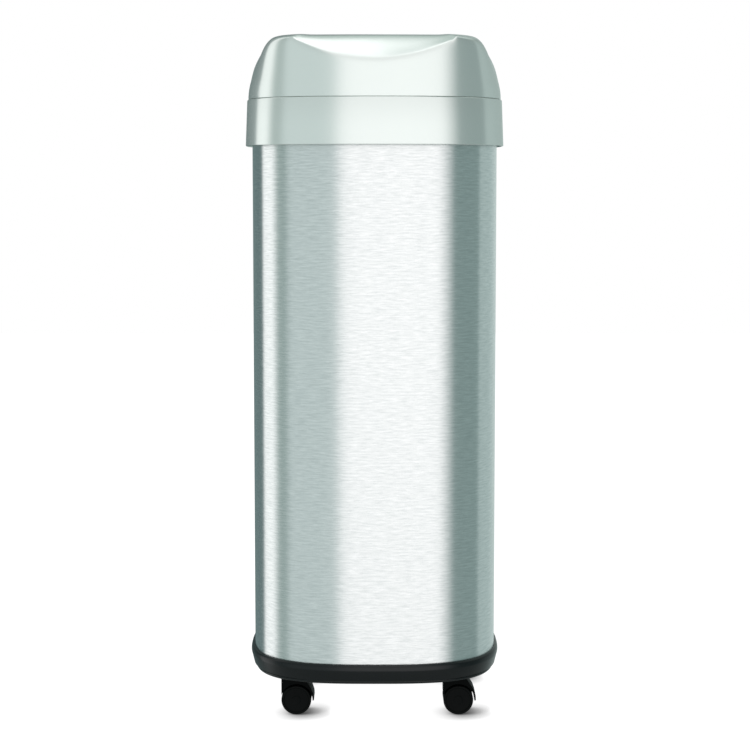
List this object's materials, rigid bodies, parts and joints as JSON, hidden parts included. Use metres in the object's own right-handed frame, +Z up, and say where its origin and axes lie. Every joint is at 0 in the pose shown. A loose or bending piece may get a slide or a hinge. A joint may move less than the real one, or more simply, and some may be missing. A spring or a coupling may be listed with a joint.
{
  "type": "wheeled open top trash can",
  "caption": "Tall brushed steel trash can of soft-cornered plan with an open scooped silver lid, a silver collar and a black base on swivelling twin-wheel casters.",
  "frame": {"origin": "on the floor below the middle of the can", "axes": "+X to the right seen from the front, +Y to the rear, +Z up"},
  "size_m": [0.3584, 0.3064, 0.9313],
  "materials": {
    "brushed_stainless": "stainless sheet brushed across the body, fingerprint-proof clear coat",
    "silver_moulding": "ABS moulding painted satin silver",
    "black_moulding": "black polypropylene with a satin mould finish",
    "grey_moulding": "grey polypropylene, fine mould texture",
    "black_caster_nylon": "black nylon, fine mould texture",
    "black_wheel_nylon": "black nylon with a semi-gloss face",
    "zinc_steel": "bright zinc-plated steel"
  },
  "bodies": {
    "bin": {"body_sleeve": "brushed_stainless", "base_rim": "black_moulding", "caster_tray": "black_moulding", "top_collar": "silver_moulding", "tray_screw_1": "zinc_steel", "tray_screw_2": "zinc_steel", "tray_screw_3": "zinc_steel", "tray_screw_4": "zinc_steel", "tray_screw_5": "zinc_steel", "tray_screw_6": "zinc_steel", "caster_front_left_stem": "zinc_steel", "caster_front_left_grip_ring": "zinc_steel", "caster_front_right_stem": "zinc_steel", "caster_front_right_grip_ring": "zinc_steel", "caster_rear_left_stem": "zinc_steel", "caster_rear_left_grip_ring": "zinc_steel", "caster_rear_right_stem": "zinc_steel", "caster_rear_right_grip_ring": "zinc_steel"},
    "lid": {"open_lid": "silver_moulding"},
    "liner_ring": {"bag_ring": "grey_moulding"},
    "caster_front_left": {"caster_front_left_housing": "black_caster_nylon", "caster_front_left_axle": "zinc_steel"},
    "front_left_outer_wheel": {"caster_front_left_outer_wheel": "black_wheel_nylon"},
    "front_left_inner_wheel": {"caster_front_left_inner_wheel": "black_wheel_nylon"},
    "caster_front_right": {"caster_front_right_housing": "black_caster_nylon", "caster_front_right_axle": "zinc_steel"},
    "front_right_outer_wheel": {"caster_front_right_outer_wheel": "black_wheel_nylon"},
    "front_right_inner_wheel": {"caster_front_right_inner_wheel": "black_wheel_nylon"},
    "caster_rear_left": {"caster_rear_left_housing": "black_caster_nylon", "caster_rear_left_axle": "zinc_steel"},
    "rear_left_outer_wheel": {"caster_rear_left_outer_wheel": "black_wheel_nylon"},
    "rear_left_inner_wheel": {"caster_rear_left_inner_wheel": "black_wheel_nylon"},
    "caster_rear_right": {"caster_rear_right_housing": "black_caster_nylon", "caster_rear_right_axle": "zinc_steel"},
    "rear_right_outer_wheel": {"caster_rear_right_outer_wheel": "black_wheel_nylon"},
    "rear_right_inner_wheel": {"caster_rear_right_inner_wheel": "black_wheel_nylon"}
  },
  "joints": [
    {"name": "lid_lift", "type": "slide", "parent": "bin", "child": "lid", "axis": [0, 0, 1], "range_m": [0, 0.26]},
    {"name": "liner_ring_lift", "type": "slide", "parent": "bin", "child": "liner_ring", "axis": [0, 0, 1], "range_m": [0, 0.13]},
    {"name": "caster_front_left_swivel", "type": "hinge", "parent": "bin", "child": "caster_front_left", "pos_m": [-0.112, -0.085, 0.053], "axis": [0, 0, 1], "continuous": true},
    {"name": "front_left_outer_wheel_spin", "type": "hinge", "parent": "caster_front_left", "child": "front_left_outer_wheel", "pos_m": [-0.1082, -0.085, 0.02065], "axis": [0, 1, 0], "continuous": true},
    {"name": "front_left_inner_wheel_spin", "type": "hinge", "parent": "caster_front_left", "child": "front_left_inner_wheel", "pos_m": [-0.1082, -0.085, 0.02065], "axis": [0, 1, 0], "continuous": true},
    {"name": "caster_front_right_swivel", "type": "hinge", "parent": "bin", "child": "caster_front_right", "pos_m": [0.112, -0.085, 0.053], "axis": [0, 0, 1], "continuous": true},
    {"name": "front_right_outer_wheel_spin", "type": "hinge", "parent": "caster_front_right", "child": "front_right_outer_wheel", "pos_m": [0.1158, -0.085, 0.02065], "axis": [0, 1, 0], "continuous": true},
    {"name": "front_right_inner_wheel_spin", "type": "hinge", "parent": "caster_front_right", "child": "front_right_inner_wheel", "pos_m": [0.1158, -0.085, 0.02065], "axis": [0, 1, 0], "continuous": true},
    {"name": "caster_rear_left_swivel", "type": "hinge", "parent": "bin", "child": "caster_rear_left", "pos_m": [-0.112, 0.085, 0.053], "axis": [0, 0, 1], "continuous": true},
    {"name": "rear_left_outer_wheel_spin", "type": "hinge", "parent": "caster_rear_left", "child": "rear_left_outer_wheel", "pos_m": [-0.1082, 0.085, 0.02065], "axis": [0, 1, 0], "continuous": true},
    {"name": "rear_left_inner_wheel_spin", "type": "hinge", "parent": "caster_rear_left", "child": "rear_left_inner_wheel", "pos_m": [-0.1082, 0.085, 0.02065], "axis": [0, 1, 0], "continuous": true},
    {"name": "caster_rear_right_swivel", "type": "hinge", "parent": "bin", "child": "caster_rear_right", "pos_m": [0.112, 0.085, 0.053], "axis": [0, 0, 1], "continuous": true},
    {"name": "rear_right_outer_wheel_spin", "type": "hinge", "parent": "caster_rear_right", "child": "rear_right_outer_wheel", "pos_m": [0.1158, 0.085, 0.02065], "axis": [0, 1, 0], "continuous": true},
    {"name": "rear_right_inner_wheel_spin", "type": "hinge", "parent": "caster_rear_right", "child": "rear_right_inner_wheel", "pos_m": [0.1158, 0.085, 0.02065], "axis": [0, 1, 0], "continuous": true}
  ],
  "couplings": [
    {"joint": "liner_ring_lift", "follows": "lid_lift", "ratio": 0.5}
  ]
}
